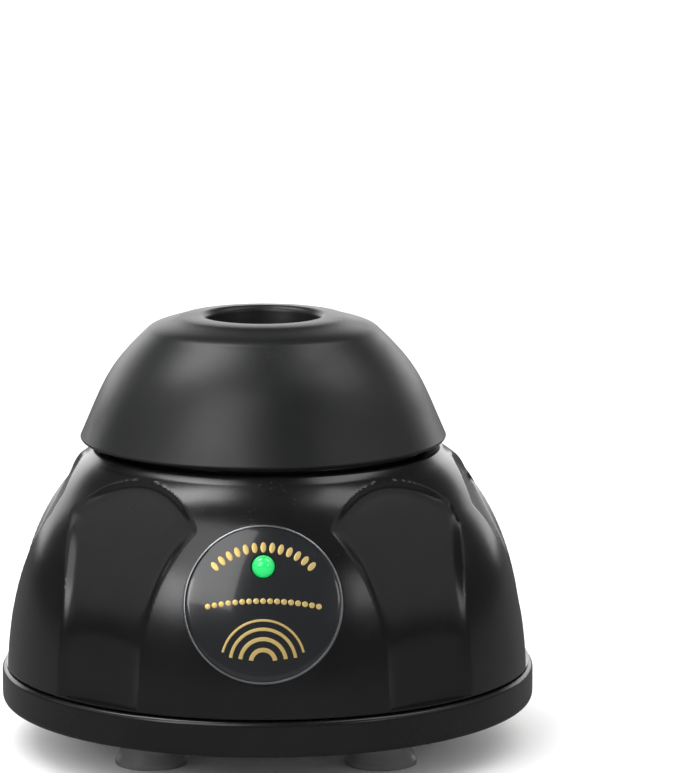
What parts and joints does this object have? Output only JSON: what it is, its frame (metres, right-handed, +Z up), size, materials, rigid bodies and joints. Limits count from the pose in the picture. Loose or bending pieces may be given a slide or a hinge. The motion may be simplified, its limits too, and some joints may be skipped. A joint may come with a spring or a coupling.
{
  "type": "vortex mixer",
  "caption": "Round domed touch-operated vortex mixer with a floating rubber cup head, arched side panels, badge with green lamp and suction feet.",
  "frame": {"origin": "on the bench under the centre of the round base plate", "axes": "+Z up along the motor axis, the badge faces -Y, the power inlet faces +Y"},
  "size_m": [0.12, 0.12, 0.0964],
  "materials": {
    "gloss_black": "semi-gloss moulded",
    "hood_rubber": "satin silicone rubber",
    "foot_rubber": "satin",
    "badge": "gloss, gilt print",
    "lamp": "clear green",
    "screw_steel": "bright zinc",
    "spring_steel": "polished",
    "motor_steel": "drawn steel",
    "moulded_grey": "fine grain",
    "white_nylon": "natural",
    "brass": "drawn",
    "aluminium": "turned",
    "board_green": "solder mask",
    "switch_red": "moulded",
    "lead_red": "vinyl",
    "lead_black": "vinyl"
  },
  "bodies": {
    "housing": {"base_plate": "gloss_black", "upper_housing": "gloss_black", "suction_foot_1": "foot_rubber", "suction_foot_2": "foot_rubber", "suction_foot_3": "foot_rubber", "suction_foot_4": "foot_rubber", "case_screw_1": "screw_steel", "case_screw_2": "screw_steel", "case_screw_3": "screw_steel", "case_screw_4": "screw_steel", "badge_plate": "badge", "status_lamp": "lamp", "dc_jack_body": "moulded_grey", "dc_jack_pin": "brass", "dc_jack_nut": "screw_steel", "control_board": "board_green", "board_connector": "white_nylon", "board_capacitor": "moulded_grey", "board_screw_1": "screw_steel", "board_screw_2": "screw_steel", "micro_switch": "moulded_grey", "switch_screw_1": "screw_steel", "switch_screw_2": "screw_steel", "guide_screw_1": "screw_steel", "guide_screw_2": "screw_steel", "guide_screw_3": "screw_steel", "press_spring_1": "spring_steel", "press_spring_2": "spring_steel", "press_spring_3": "spring_steel", "jack_lead_red": "lead_red", "jack_lead_black": "lead_black", "motor_lead_red": "lead_red", "motor_lead_black": "lead_black", "lamp_lead": "lead_red", "switch_lead": "lead_black"},
    "carriage": {"motor_cradle": "moulded_grey", "motor_can": "motor_steel", "motor_end_cap": "white_nylon", "motor_terminal_1": "brass", "motor_terminal_2": "brass", "motor_screw_1": "screw_steel", "motor_screw_2": "screw_steel"},
    "plunger": {"switch_plunger": "switch_red"},
    "rotor": {"motor_shaft": "motor_steel", "eccentric_hub": "aluminium", "counterweight": "screw_steel", "hub_set_screw": "screw_steel", "bearing_inner_race": "spring_steel", "retaining_ring": "spring_steel"},
    "cage": {"bearing_cage": "brass"},
    "cup": {"cup_hood": "hood_rubber", "cup_carrier": "moulded_grey", "bearing_outer_race": "spring_steel", "bearing_retainer": "aluminium", "retainer_screw_1": "screw_steel", "retainer_screw_2": "screw_steel", "retainer_screw_3": "screw_steel"}
  },
  "joints": [
    {"name": "press", "type": "slide", "parent": "housing", "child": "carriage", "axis": [0, 0, -1], "range_m": [0, 0.001], "stiffness_N_per_m": 3000, "springref_m": -0.002, "deforming": ["press_spring_1", "press_spring_2", "press_spring_3"]},
    {"name": "plunger_travel", "type": "slide", "parent": "housing", "child": "plunger", "axis": [0, 0, -1], "range_m": [0, 0.001]},
    {"name": "motor_spin", "type": "hinge", "parent": "carriage", "child": "rotor", "pos_m": [0, 0, 0.045], "axis": [0, 0, 1], "continuous": true},
    {"name": "cage_turn", "type": "hinge", "parent": "rotor", "child": "cage", "pos_m": [-0.00089, 0.00133, 0.0748], "axis": [0, 0, 1], "continuous": true},
    {"name": "cup_turn", "type": "hinge", "parent": "rotor", "child": "cup", "pos_m": [-0.00089, 0.00133, 0.0748], "axis": [0, 0, 1], "continuous": true}
  ],
  "couplings": [
    {"joint": "plunger_travel", "follows": "press", "ratio": 1},
    {"joint": "cage_turn", "follows": "motor_spin", "ratio": -0.623},
    {"joint": "cup_turn", "follows": "motor_spin", "ratio": -1}
  ]
}
